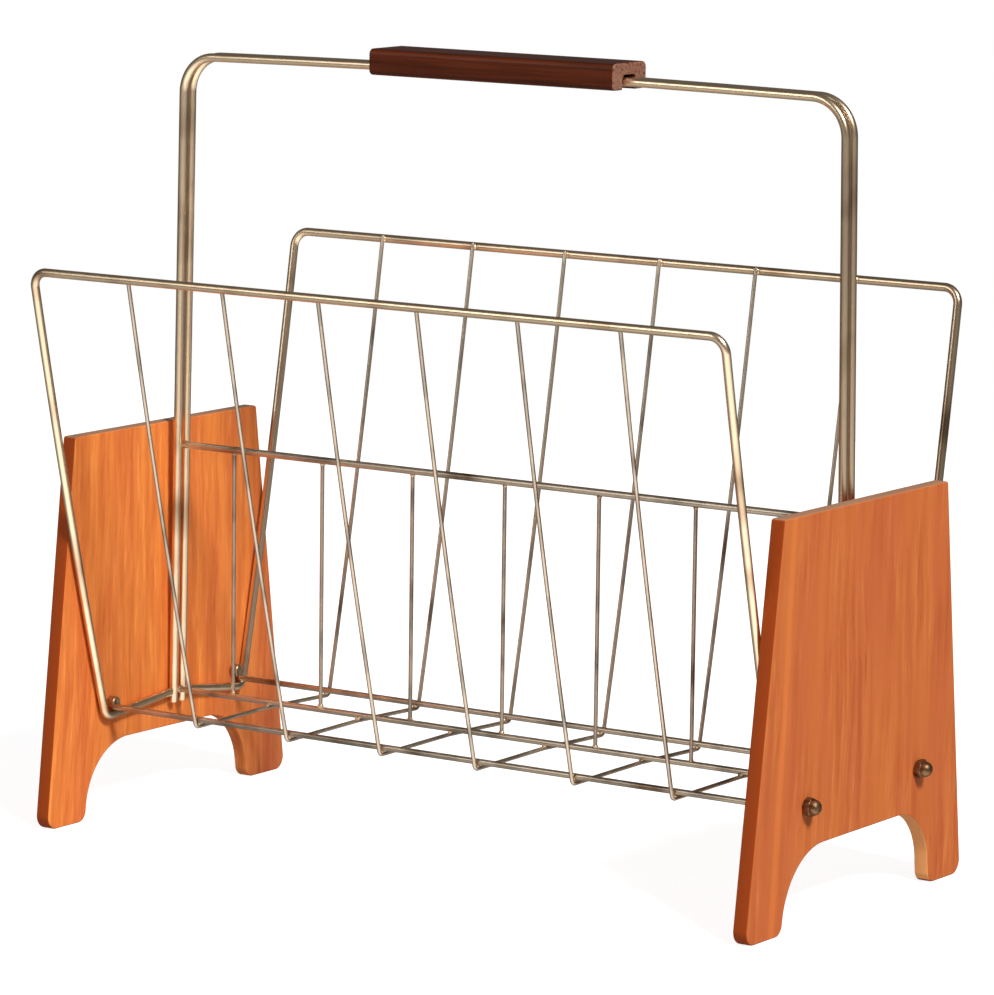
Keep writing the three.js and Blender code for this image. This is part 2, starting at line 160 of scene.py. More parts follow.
class Finishes(bpy.types.PropertyGroup):
    teak: colour("Teak", "Body of the right panel's oiled teak", "#cc6d38")
    teak_pale: colour("Pale teak", "Body of the left panel's oiled teak", "#ed823e")
    teak_deep: colour("Deep teak", "Darker wood at the left panel's rear and foot", "#c66a3e")
    teak_edge: colour("Teak edge", "Planed slanted edges of the panels", "#a1420f")
    # Painted shade: the panels' up-facing top edges take a darker copy of the edge tone, to offset the
    # lamp light that falls on them from above.
    teak_top_painted_shade: colour("Teak top", "Top edges of the panels, darkened by hands", "#a77a5e")
    teak_sawn: colour("Sawn teak", "Sawn edge in the right panel's arch", "#f5a868")
    rosewood: colour("Rosewood", "Body of the polished grip", "#602912")
    rosewood_dark: colour("Rosewood dark", "Dark streaks of the polished grip", "#481c0a")
    end_grain: colour("End grain", "Sawn ends of the grip", "#8e6350")
    brass_light: colour("Brass", "Clean brass plating", "#f4d8b4")
    brass_worn: colour("Worn brass", "Dulled brass plating", "#c9ab8a")
    thin_light: colour("Thin wire", "Dull plating of the thin wires", "#d0bda6")
    thin_worn: colour("Worn thin wire", "Dullest plating of the thin wires", "#a89a88")
    brass_dark: colour("Tarnish", "Tarnish and flux on the plating", "#7c634a")
    nut_brass: colour("Nut brass", "Dark old brass of the cap nuts", "#8b6a4a")
    nut_dark: colour("Nut tarnish", "Tarnish on the cap nuts", "#58402f")


class Studio(bpy.types.PropertyGroup):
    azimuth: angle("Azimuth", "Turn of the camera round the basket", 0.59538)
    elevation: angle("Elevation", "Height angle of the camera", 0.15465)
    roll: angle("Roll", "Tilt of the picture", 0.01324)
    view_width: angle("View width", "Width of the picture's view cone", 0.1823367)
    distance: length("Distance", "From the camera to its target", 2.99137)
    target: bpy.props.FloatVectorProperty(name="Target", description="The point that the camera looks at",
                                          size=3, subtype="XYZ", unit="LENGTH",
                                          default=(-0.003108, 0.010756, 0.197195))
    ambient: bpy.props.FloatProperty(name="Ambient", description="Strength of the light from all round",
                                     default=0.2, min=0.0)


# Small tools

def plug(tree, node, inputs):
    """Set or link a node's inputs, given by name or number or in their own order.

    A node given as a value stands for its first output.
    """
    for key, value in inputs.items() if isinstance(inputs, dict) else enumerate(inputs):
        if isinstance(value, bpy.types.Node):
            value = value.outputs[0]
        if isinstance(value, bpy.types.NodeSocket):
            tree.links.new(value, node.inputs[key])
        else:
            node.inputs[key].default_value = value


def add(tree, kind, inputs=(), stops=(), **settings):
    """Add one node with its settings, its ramp stops, and its inputs set or linked."""
    node = tree.nodes.new(kind)
    for key, value in settings.items():
        setattr(node, key, value)
    plug(tree, node, inputs)
    for _ in stops[2:]:
        node.color_ramp.elements.new(0.5)
    for i, (position, rgba) in enumerate(stops):
        node.color_ramp.elements[i].position = position
        node.color_ramp.elements[i].color = rgba
    return node


def new_material(name):
    """Start a material and return it with its tree and its main shader."""
    material = bpy.data.materials.new(name)
    material.use_nodes = True
    tree = material.node_tree
    return material, tree, tree.nodes["Principled BSDF"]


def placed(name, data):
    """Put an object that holds the data in the scene."""
    thing = bpy.data.objects.new(name, data)
    bpy.context.scene.collection.objects.link(thing)
    return thing


def keep_piece(name, mesh, nodes):
    """Make a mesh into a piece that stands for its CAD nodes."""
    piece = placed(name, mesh)
    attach(piece, "root")
    if nodes:
        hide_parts(*nodes)


def evaluated_mesh(piece, name):
    """Return a piece's finished shape as a plain mesh, and remove the piece."""
    bpy.context.view_layer.update()
    mesh = bpy.data.meshes.new_from_object(piece.evaluated_get(bpy.context.evaluated_depsgraph_get()))
    mesh.name = name
    bpy.data.objects.remove(piece)
    return mesh


def grown(name, seed_mesh, tree, values):
    """Run a geometry tree on a seed mesh and return the result as a plain mesh."""
    seed = placed(name + "_seed", seed_mesh)
    modifier = seed.modifiers.new("Shape", "NODES")
    modifier.node_group = tree
    for item in tree.interface.items_tree:
        if item.item_type == "SOCKET" and item.name in values:
            modifier[item.identifier] = values[item.name]
    mesh = evaluated_mesh(seed, name)
    if not mesh.polygons:
        raise RuntimeError(f"{name} came out empty")
    return mesh


def seed_points(name, places, attribute, vectors):
    """Make a seed of loose points, each with a vector that its tree reads."""
    mesh = bpy.data.meshes.new(name)
    mesh.from_pydata(places, [], [])
    values = mesh.attributes.new(attribute, "FLOAT_VECTOR", "POINT").data
    values.foreach_set("vector", [share for vector in vectors for share in vector])
    return mesh


def new_tree(name, **sockets):
    """Start a geometry tree that is given a seed, the named inputs and a material, and return both."""
    tree = bpy.data.node_groups.new(name, "GeometryNodeTree")
    for direction in ("OUTPUT", "INPUT"):
        tree.interface.new_socket("Geometry", in_out=direction, socket_type="NodeSocketGeometry")
    for label, kind in (*sockets.items(), ("Material", "Material")):
        tree.interface.new_socket(label, in_out="INPUT", socket_type="NodeSocket" + kind)
    return tree, add(tree, "NodeGroupInput").outputs


def finish_tree(tree, given, made):
    """End a tree in Realize Instances and Set Material."""
    real = add(tree, "GeometryNodeRealizeInstances", {"Geometry": made})
    dressed = add(tree, "GeometryNodeSetMaterial", {"Geometry": real, "Material": given["Material"]})
    add(tree, "NodeGroupOutput", {"Geometry": dressed})
    return tree


# Centre lines, read from the CAD wires so that each visible wire lies in its solid

def centre_line(node, diameter):
    """Return a CAD wire's stations, from end to end, as (place, heading) pairs."""
    same_place, end_reach = 0.002 * MM, 1.05 * diameter
    shell = bmesh.new()
    shell.from_mesh(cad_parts[node].data)
    bmesh.ops.remove_doubles(shell, verts=shell.verts, dist=same_place)
    shell.verts.index_update()
    shell.verts.ensure_lookup_table()

    def spread(ring):
        seen = set(ring)
        rings = []
        while ring:
            rings.append(sorted(ring, key=lambda vert: vert.index))
            ring = {edge.other_vert(vert) for vert in ring for edge in vert.link_edges} - seen
            seen |= ring
        return rings

    tip = spread({shell.verts[0]})[-1][0]
    first = {vert for vert in shell.verts if (vert.co - tip.co).length < end_reach}
    rings = spread(first)
    centres = [sum((vert.co for vert in ring), Vector()) / len(ring) for ring in rings]
    stations = []
    for i, (ring, centre) in enumerate(zip(rings, centres)):
        forward = (centres[i + 1] - centre) if i + 1 < len(centres) else (centre - centres[i - 1])
        across = max(ring, key=lambda vert: (vert.co - ring[0].co).length)
        side = min(ring, key=lambda vert: abs((vert.co - centre).dot(across.co - centre)))
        heading = (across.co - centre).cross(side.co - centre).normalized()
        stations.append((centre, heading if heading.dot(forward) > 0 else -heading))
    shell.free()
    return stations


def smooth_line(stations, steps):
    """Put more places on the bends of a centre line."""
    straight = 0.99999
    places = [stations[0][0]]
    for (a, heading_a), (b, heading_b) in zip(stations, stations[1:]):
        chord = (b - a).length
        if heading_a.dot(heading_b) < straight:
            for i in range(1, steps):
                t = i / steps
                places.append(a * (2 * t ** 3 - 3 * t ** 2 + 1) + b * (3 * t ** 2 - 2 * t ** 3)
                              + heading_a * chord * (t ** 3 - 2 * t ** 2 + t)
                              + heading_b * chord * (t ** 3 - t ** 2))
        places.append(b)
    return places


def wire_seed(name, places, diameter):
    """Make the seed of a round wire: its centre line, with ends that a file has rounded off."""
    filed = 0.3
    steps = 4
    depth = filed * diameter / 2
    arc = [(depth * (1 - math.cos(a)), 1 - filed * (1 - math.sin(a)))
           for a in (math.pi / 2 * i / steps for i in range(steps + 1))]
    start = (places[1] - places[0]).normalized()
    end = (places[-2] - places[-1]).normalized()
    line = [(places[0] + start * along, share) for along, share in arc]
    line += [(place, 1.0) for place in places[1:-1]]
    line += [(places[-1] + end * along, share) for along, share in reversed(arc)]
    mesh = bpy.data.meshes.new(name + "_line")
    mesh.from_pydata([place for place, _ in line], [(i, i + 1) for i in range(len(line) - 1)], [])
    swell = mesh.attributes.new("swell", "FLOAT", "POINT")
    swell.data.foreach_set("value", [share for _, share in line])
    return mesh


def skin(tree, given, line, **inputs):
    """Skin a line with a round section of the diameter and sides that the tree is given."""
    radius = add(tree, "ShaderNodeMath", (given["Diameter"], 2.0), operation="DIVIDE")
    section = add(tree, "GeometryNodeCurvePrimitiveCircle", {
        "Resolution": given["Sides"], "Radius": radius})
    tube = add(tree, "GeometryNodeCurveToMesh", {
        "Curve": line, "Profile Curve": section, "Fill Caps": True, **inputs})
    return add(tree, "GeometryNodeSetShadeSmooth", {"Geometry": tube, "Shade Smooth": True})


def round_wire_tree():
    """A round wire along the seed's line, thinner where the attribute swell says so."""
    tree, given = new_tree("Round wire", Diameter="Float", Sides="Int")
    line = add(tree, "GeometryNodeMeshToCurve", {"Mesh": given["Geometry"]})
    swell = add(tree, "GeometryNodeInputNamedAttribute", {"Name": "swell"}, data_type="FLOAT")
    return finish_tree(tree, given, skin(tree, given, line, Scale=swell.outputs["Attribute"]))


def upright_row_tree():
    """A row of like uprights between two places, as the divider has."""
    tree, given = new_tree("Row of uprights", Count="Int", First="Vector", Step="Vector",
                           Height="Float", Diameter="Float", Sides="Int")
    places = add(tree, "GeometryNodeMeshLine", {
        "Count": given["Count"], "Start Location": given["First"], "Offset": given["Step"]},
        mode="OFFSET")
    top = add(tree, "ShaderNodeCombineXYZ", {"Z": given["Height"]})
    line = add(tree, "GeometryNodeCurvePrimitiveLine", {"End": top})
    row = add(tree, "GeometryNodeInstanceOnPoints", {
        "Points": places, "Instance": skin(tree, given, line)})
    return finish_tree(tree, given, row)


def weld_bead_tree():
    """Small uneven beads of solder, one on each point of the seed, squashed as its shape says."""
    tree, given = new_tree("Weld beads", Radius="Float", Unevenness="Float", Seed="Int")
    bead = add(tree, "GeometryNodeMeshIcoSphere", {"Radius": given["Radius"], "Subdivisions": 3})
    shape = add(tree, "GeometryNodeInputNamedAttribute", {"Name": "shape"}, data_type="FLOAT_VECTOR")
    # A bead is up to 15% larger or smaller than its size.
    size = add(tree, "FunctionNodeRandomValue", {2: 0.85, 3: 1.15, "Seed": given["Seed"]},
               data_type="FLOAT").outputs[1]
    scaled = add(tree, "ShaderNodeVectorMath", {0: shape.outputs["Attribute"], 3: size},
                 operation="SCALE")
    row = add(tree, "GeometryNodeInstanceOnPoints", {
        "Points": given["Geometry"], "Instance": bead, "Scale": scaled})
    real = add(tree, "GeometryNodeRealizeInstances", {"Geometry": row})
    # Lumps about 1.4 mm wide.
    rough = add(tree, "ShaderNodeTexNoise", {"Scale": 700.0, "Detail": 2.0})
    lift = add(tree, "ShaderNodeMath", (rough, 0.5), operation="SUBTRACT")
    amount = add(tree, "ShaderNodeMath", (lift, given["Unevenness"]), operation="MULTIPLY")
    normal = add(tree, "GeometryNodeInputNormal")
    offset = add(tree, "ShaderNodeVectorMath", {0: normal, 3: amount}, operation="SCALE")
    uneven = add(tree, "GeometryNodeSetPosition", {"Geometry": real, "Offset": offset})
    smooth = add(tree, "GeometryNodeSetShadeSmooth", {"Geometry": uneven, "Shade Smooth": True})
    return finish_tree(tree, given, smooth)


def fastener_tree():
    """One fastener on each point of the seed, turned as its point says."""
    tree, given = new_tree("Fasteners", Fastener="Object")
    model = add(tree, "GeometryNodeObjectInfo", {"Object": given["Fastener"], "As Instance": True})
    turn = add(tree, "GeometryNodeInputNamedAttribute", {"Name": "turn"}, data_type="FLOAT_VECTOR")
    rotation = add(tree, "FunctionNodeEulerToRotation", (turn.outputs["Attribute"],))
    row = add(tree, "GeometryNodeInstanceOnPoints", {
        "Points": given["Geometry"], "Instance": model.outputs["Geometry"], "Rotation": rotation})
    return finish_tree(tree, given, row)


# Materials

def plated_wire(name, colours, clean, patch, roughness, dulled):
    """Steel wire, drawn and brass-plated: pale metal with duller patches and a soft shine."""
    bright, worn, dark = colours
    material, tree, shader = new_material(name)
    place = add(tree, "ShaderNodeTexCoord").outputs["Object"]
    # Clouds of dulled plating, which break up the shine along a wire.
    patches = add(tree, "ShaderNodeTexNoise", {
        "Vector": place, "Scale": 1 / patch, "Detail": 2.0, "Roughness": 0.45})
    base = add(tree, "ShaderNodeValToRGB", (patches,), stops=[
        (clean - 0.2, dark), (clean - 0.08, worn), (clean + 0.06, bright)])
    # The floor's wires are a little browner, and so is the right side behind the front frame. The handle's
    # bar, high up, takes the clean bright colour throughout. Each row is an axis, the millimetres between
    # which the change takes place, and the values there.
    axes = add(tree, "ShaderNodeSeparateXYZ", (place,)).outputs
    low, right, behind, below_bar = (
        add(tree, "ShaderNodeMapRange", (axes[axis], start * MM, end * MM, first, last))
        for axis, start, end, first, last in (
            ("Z", 76, 66, 0.0, 0.15), ("X", 0, 210, 0.0, dulled),
            ("Y", -60, -20, 0.0, 1.0), ("Z", 380, 425, 1.0, 0.0)))
    far = add(tree, "ShaderNodeMath", (right, behind), operation="MULTIPLY")
    dull = add(tree, "ShaderNodeMath", (far, below_bar), operation="MULTIPLY")
    most = add(tree, "ShaderNodeMath", (low, dull), operation="MAXIMUM")
    bar_brightened = add(tree, "ShaderNodeMix", {0: below_bar, 6: bright, 7: base}, data_type="RGBA").outputs[2]
    browned = add(tree, "ShaderNodeMix", {0: most, 6: bar_brightened, 7: dark}, data_type="RGBA").outputs[2]
    plug(tree, shader, {"Base Color": browned, "Roughness": roughness, "Metallic": 1.0})
    return material


def oiled_teak(finishes):
    """Teak veneer, sliced and oiled: straight upright grain in soft warm streaks, with a low sheen."""
    material, tree, shader = new_material("teak_sliced_oiled")
    place = add(tree, "ShaderNodeTexCoord").outputs["Object"]
    # The faces' own marks: leaf is 1 on the left panel, the others are 1 on cut edges.
    leaf, planed, sawn, top = (add(tree, "ShaderNodeAttribute", attribute_name=name).outputs["Fac"]
                               for name in ("leaf", "planed", "sawn", "top"))
    axes = add(tree, "ShaderNodeSeparateXYZ", (place,)).outputs
    # The grain leans with the front edge at the front, and stands upright from the middle on.
    forward = add(tree, "ShaderNodeMapRange", (axes["Y"], 0.0, -90 * MM, 0.0, 0.075))
    lean = add(tree, "ShaderNodeMath", (forward, axes["Z"]), operation="MULTIPLY")
    upright = add(tree, "ShaderNodeMath", (axes["Y"], lean), operation="SUBTRACT")
    straight = add(tree, "ShaderNodeCombineXYZ", (axes["X"], upright, axes["Z"]))
    # It wanders some millimetres sideways, over 90 mm or so.
    drift = add(tree, "ShaderNodeTexNoise", {"Vector": place, "Scale": 11.0, "Detail": 1.0})
    centred = add(tree, "ShaderNodeVectorMath", (drift.outputs["Color"], (0.5, 0.5, 0.5)),
                  operation="SUBTRACT")
    sideways = add(tree, "ShaderNodeVectorMath", (centred, (8 * MM, 8 * MM, 0.0)), operation="MULTIPLY")
    grain = add(tree, "ShaderNodeVectorMath", (straight, sideways), operation="ADD")
    # Growth bands about 22 mm wide, streaks about 6 mm, flecks about 3 mm, and pores drawn 1.6 mm wide,
    # wider than they are, so that they still show. The figure comes and goes in stretches. Each row is
    # a width and a height in millimetres, and how fine the pattern is.
    bands, streaks, flecks, pores, stretches = (add(tree, "ShaderNodeTexNoise", {
        "Vector": add(tree, "ShaderNodeMapping", {
            "Vector": grain, "Scale": (1 / (wide * MM), 1 / (wide * MM), 1 / (tall * MM))}),
        "Scale": 1.0, "Detail": detail}).outputs[0] for wide, tall, detail in (
            (22, 240, 1.0), (6, 85, 2.0), (3.4, 32, 2.0), (1.6, 18, 1.0), (28, 80, 1.0)))
    # It is lively in some stretches and faint in others, and lively all over the left panel.
    patchy = add(tree, "ShaderNodeMapRange", (stretches, 0.38, 0.62, 0.15))
    lively = add(tree, "ShaderNodeMath", (patchy, leaf), operation="MAXIMUM")
    # The left panel's veneer is paler, and deepens towards its rear and its rear foot.
    rearward, footward = (
        add(tree, "ShaderNodeMapRange", (axes[axis], start * MM, end * MM, first, last),
            interpolation_type="SMOOTHSTEP")
        for axis, start, end, first, last in (("Y", 30, 120, 0.0, 0.5), ("Z", 75, 25, 1.0, 2.0)))
    deep = add(tree, "ShaderNodeMath", (rearward, footward), operation="MULTIPLY")
    left = add(tree, "ShaderNodeMix", {0: deep, 6: finishes.teak_pale, 7: finishes.teak_deep},
               data_type="RGBA").outputs[2]
    # The body is more yellow in some bands and more brown in others, crossed by soft streaks. Each row
    # is a pattern, how much of it shows, and the tints by which its low and its high values multiply.
    figured = add(tree, "ShaderNodeMix", {0: leaf, 6: finishes.teak, 7: left},
                  data_type="RGBA").outputs[2]
    for pattern, share, low, dark, high, pale in (
            (bands, 1.0, 0.34, (0.95, 0.9, 0.97, 1), 0.66, (1.03, 1.09, 1.0, 1)),
            (streaks, lively, 0.36, (0.89, 0.8, 0.8, 1), 0.64, (1.07, 1.17, 1.14, 1)),
            (flecks, lively, 0.54, (0.99, 0.98, 0.98, 1), 0.72, (1.12, 1.26, 1.35, 1)),
            (pores, lively, 0.56, (1.0, 1.0, 1.0, 1), 0.74, (0.9, 0.84, 0.8, 1))):
        tint = add(tree, "ShaderNodeValToRGB", (pattern,), stops=[(low, dark), (high, pale)])
        figured = add(tree, "ShaderNodeMix", {0: share, 6: figured, 7: tint},
                      data_type="RGBA", blend_type="MULTIPLY").outputs[2]
    # One pale ring of growth runs up the right panel near its front edge.
    ring = add(tree, "ShaderNodeMath", (upright, 81.5 * MM), operation="ADD")
    apart = add(tree, "ShaderNodeMath", (ring,), operation="ABSOLUTE")
    glow = add(tree, "ShaderNodeMapRange", (apart, 5 * MM, 1 * MM, 0.0, 0.4),
               interpolation_type="SMOOTHSTEP")
    other = add(tree, "ShaderNodeMath", (1.0, leaf), operation="SUBTRACT")
    ringed = add(tree, "ShaderNodeMath", (glow, other), operation="MULTIPLY")
    # The top edges' tone is painted shade: a darker copy for the up-facing edges, which the lamp lights
    # most.
    for mask, tone in ((ringed, finishes.teak_pale), (planed, finishes.teak_edge),
                       (sawn, finishes.teak_sawn), (top, finishes.teak_top_painted_shade)):
        figured = add(tree, "ShaderNodeMix", {0: mask, 6: figured, 7: tone},
                      data_type="RGBA").outputs[2]
    rough = add(tree, "ShaderNodeMapRange", (streaks, 0.3, 0.7, 0.6, 0.5))
    bump = add(tree, "ShaderNodeBump", {
        "Strength": 0.2, "Distance": 0.1 * MM, "Height": pores}, invert=True)
    plug(tree, shader, {"Base Color": figured, "Roughness": rough, "Normal": bump,
                        "Specular IOR Level": 0.15})
    return material


def polished_rosewood(finishes):
    """Rosewood, planed and polished: dark lengthwise streaks under a soft shine."""
    material, tree, shader = new_material("rosewood_planed_polished")
    place = add(tree, "ShaderNodeTexCoord").outputs
    # Streaks about 3 mm wide and 90 mm long.
    lengthwise = add(tree, "ShaderNodeMapping", {
        "Vector": place["Object"], "Scale": (1 / (90 * MM), 1 / (3 * MM), 1 / (3 * MM))})
    streaks = add(tree, "ShaderNodeTexNoise", {
        "Vector": lengthwise, "Scale": 1.0, "Detail": 4.0, "Roughness": 0.6})
    body = add(tree, "ShaderNodeValToRGB", (streaks,), stops=[
        (0.34, finishes.rosewood_dark), (0.56, finishes.rosewood)])
    # Painted shade: the upward faces are darkened, down to half on the top, to offset the stronger lamp
    # light there.
    facing = add(tree, "ShaderNodeSeparateXYZ", (place["Normal"],)).outputs
    top_painted_shade = add(tree, "ShaderNodeMapRange", (facing["Z"], 0.5, 0.9, 1.0, 0.5))
    shade = add(tree, "ShaderNodeMix", {0: 1.0, 6: body, 7: top_painted_shade},
                data_type="RGBA", blend_type="MULTIPLY").outputs[2]
    bump = add(tree, "ShaderNodeBump", {"Strength": 0.15, "Distance": 0.1 * MM, "Height": streaks})
    plug(tree, shader, {"Base Color": shade, "Normal": bump, "Roughness": 0.34,
                        "Specular IOR Level": 0.14})
    return material


def clouded(name, bright, dark, low, high, cloud, detail, roughness, metallic):
    """A surface that two colours share in clouds: dark where its noise is low, bright where it is high."""
    material, tree, shader = new_material(name)
    clouds = add(tree, "ShaderNodeTexNoise", {
        "Vector": add(tree, "ShaderNodeTexCoord").outputs["Object"], "Scale": 1 / cloud,
        "Detail": 3.0, "Roughness": detail})
    body = add(tree, "ShaderNodeValToRGB", (clouds,), stops=[(low, dark), (high, bright)])
    plug(tree, shader, {"Base Color": body, "Roughness": roughness, "Metallic": metallic})
    return material


def sawn_end_grain(finishes):
    """Rosewood, sawn across: paler and duller than the sides, and speckled by its open pores."""
    return clouded("rosewood_sawn_end", finishes.end_grain, finishes.rosewood, 0.36, 0.52,
                   1.6 * MM, 0.6, 0.5, 0.0)


def old_brass(name, bright, dark, roughness):
    """Brass, turned and aged: darkened in soft clouds, with a dull shine."""
    return clouded(name, bright, dark, 0.35, 0.6, 3 * MM, 0.55, roughness, 1.0)


def material(name):
    """Return a finish by name, made on its first use."""
    found = bpy.data.materials.get(name)
    if found:
        return found
    finishes = bpy.context.scene.basket_finishes
    thick = (finishes.brass_light, finishes.brass_worn, finishes.brass_dark)
    thin = (finishes.thin_light, finishes.thin_worn, finishes.brass_dark)
    makers = {
        "frame_wire_brass_plated": lambda: plated_wire(name, thick, 0.42, 40 * MM, 0.3, 0.35),
        "thin_wire_brass_plated": lambda: plated_wire(name, thin, 0.46, 25 * MM, 0.38, 0.0),
        "weld_brass_plated": lambda: plated_wire(name, thick, 0.5, 4 * MM, 0.4, 0.0),
        "teak_sliced_oiled": lambda: oiled_teak(finishes),
        "rosewood_planed_polished": lambda: polished_rosewood(finishes),
        "rosewood_sawn_end": lambda: sawn_end_grain(finishes),
        "brass_turned_aged": lambda: old_brass(name, finishes.nut_brass, finishes.nut_dark, 0.48),
        "brass_turned_dull": lambda: old_brass(name, finishes.brass_worn, finishes.nut_brass, 0.42),
    }
    return makers[name]()


# Outlines and turned shapes

TURNED_ANGLE = math.radians(32)
SHOULDER = 0.01 * MM


def rounded_outline(corners, steps):
    """Return the points of a closed outline whose corners, (x, y, radius), are rounded."""
    points = []
    for i, (x, y, radius) in enumerate(corners):
        corner = Vector((x, y))
        into = (corner - Vector(corners[i - 1][:2])).normalized()
        out = (Vector(corners[(i + 1) % len(corners)][:2]) - corner).normalized()
        if not radius:
            points.append(corner)
            continue
        turn = math.atan2(into.cross(out), into.dot(out))
        start = corner - into * radius * math.tan(abs(turn) / 2)
        inwards = Vector((-into.y, into.x)) * math.copysign(1, turn)
        centre = start + inwards * radius
        for step in range(steps + 1):
            points.append(centre + Matrix.Rotation(turn * step / steps, 2) @ (start - centre))
    return points


def slab(name, outline, holes, thickness, edge, edge_steps):
    """Make a rounded slab with holes, its outline in Y and Z and its thickness along X."""
    same_place = 0.005 * MM
    curve = bpy.data.curves.new(name + "_outline", "CURVE")
    curve.dimensions = "2D"
    curve.fill_mode = "BOTH"
    curve.bevel_depth = edge
    curve.bevel_resolution = edge_steps
    curve.extrude = thickness / 2 - edge
    curve.offset = -edge
    for points in [outline] + holes:
        spline = curve.splines.new("POLY")
        spline.points.add(len(points) - 1)
        spline.use_cyclic_u = True
        for target, point in zip(spline.points, points):
            target.co = (point.x, point.y, 0, 1)
    mesh = evaluated_mesh(placed(name + "_outline", curve), name)
    mesh.transform(Matrix(((0, 0, 1, 0), (1, 0, 0, 0), (0, 1, 0, 0), (0, 0, 0, 1))))
    shell = bmesh.new()
    shell.from_mesh(mesh)
    bmesh.ops.remove_doubles(shell, verts=shell.verts, dist=same_place)
    bmesh.ops.recalc_face_normals(shell, faces=shell.faces)
    shell.to_mesh(mesh)
    shell.free()
    return mesh


def stack_of_rings(name, rings, around):
    """Skin a stack of rings along X. A ring is its place and a function from angle to radius."""
    shell = bmesh.new()
    loops = []
    for x, radius in rings:
        loops.append([shell.verts.new((x, radius(a) * math.cos(a), radius(a) * math.sin(a)))
                      for a in (2 * math.pi * i / around for i in range(around))])
    for low, high in zip(loops, loops[1:]):
        for i in range(around):
            j = (i + 1) % around
            shell.faces.new((low[i], low[j], high[j], high[i]))
    shell.faces.new(loops[0][::-1])
    shell.faces.new(loops[-1])
    bmesh.ops.recalc_face_normals(shell, faces=shell.faces)
    mesh = bpy.data.meshes.new(name)
    shell.to_mesh(mesh)
    shell.free()
    mesh.polygons.foreach_set("use_smooth", [True] * len(mesh.polygons))
    mesh.set_sharp_from_angle(angle=TURNED_ANGLE)
    return mesh


def cap_nut_model(sizes):
    """A hexagon with turned corners, and a dome that rises from a small step."""
    apothem, dome, base, trim = sizes.flats / 2, sizes.dome / 2, sizes.hexagon, sizes.trim
    corner = apothem / math.cos(math.pi / 6)
    rise = sizes.height - base
    flattening, steps, tip, around = 0.9, 12, 0.05 * MM, 72

    def hexagon(limit):
        def radius(angle):
            off = (angle + math.pi / 6) % (math.pi / 3) - math.pi / 6
            return min(apothem / math.cos(off), limit)
        return radius

    # The corners are turned down at both faces of the hexagon, and the dome grows out of it.
    rings = [(0, hexagon(corner - trim)), (trim * 0.6, hexagon(corner)),
             (base - trim * 0.8, hexagon(corner)),
             (base - trim * 0.35, hexagon(corner - trim * 0.35)),
             (base, hexagon(corner - trim)), (base + SHOULDER, lambda _: dome)]
    for i in range(1, steps):
        angle = math.pi / 2 * i / steps
        rings.append((base + rise * math.sin(angle),
                      lambda _, radius=dome * math.cos(angle) ** flattening: radius))
    rings.append((sizes.height, lambda _: tip))
    return stack_of_rings("cap_nut", rings, around)


def stud_boss_model(sizes):
    """The turned boss that the frame is welded to, with the stud that passes through the panel."""
    boss = span("left_front_stud_boss", "Y") / 2
    end = span("left_front_stud_boss", "X") - sizes.boss
    back, stud, ease, around = sizes.boss, sizes.stud / 2, sizes.ease, 40
    profile = [(-back, boss - ease), (-back + ease, boss), (-ease, boss), (0, boss - ease),
               (SHOULDER, stud), (end - ease, stud), (end, stud - ease)]
    return stack_of_rings("stud_boss", [(x, lambda _, radius=r: radius) for x, r in profile], around)


# Pieces

HALVES = ("front", "rear")
FLOOR_WIRES = ("front_floor_rod", "centre_floor_wire", "rear_floor_rod")


def round_wires(nodes, diameter, finish, sides):
    """Make a round wire for each of some CAD wires."""
    tree = bpy.data.node_groups.get("Round wire") or round_wire_tree()
    bend_steps = 4
    for node in nodes:
        name = node + "_plated"
        places = smooth_line(centre_line(node, diameter), bend_steps)
        mesh = grown(name, wire_seed(name, places, diameter), tree, {
            "Diameter": diameter, "Sides": sides, "Material": material(finish)})
        keep_piece(name, mesh, [node])


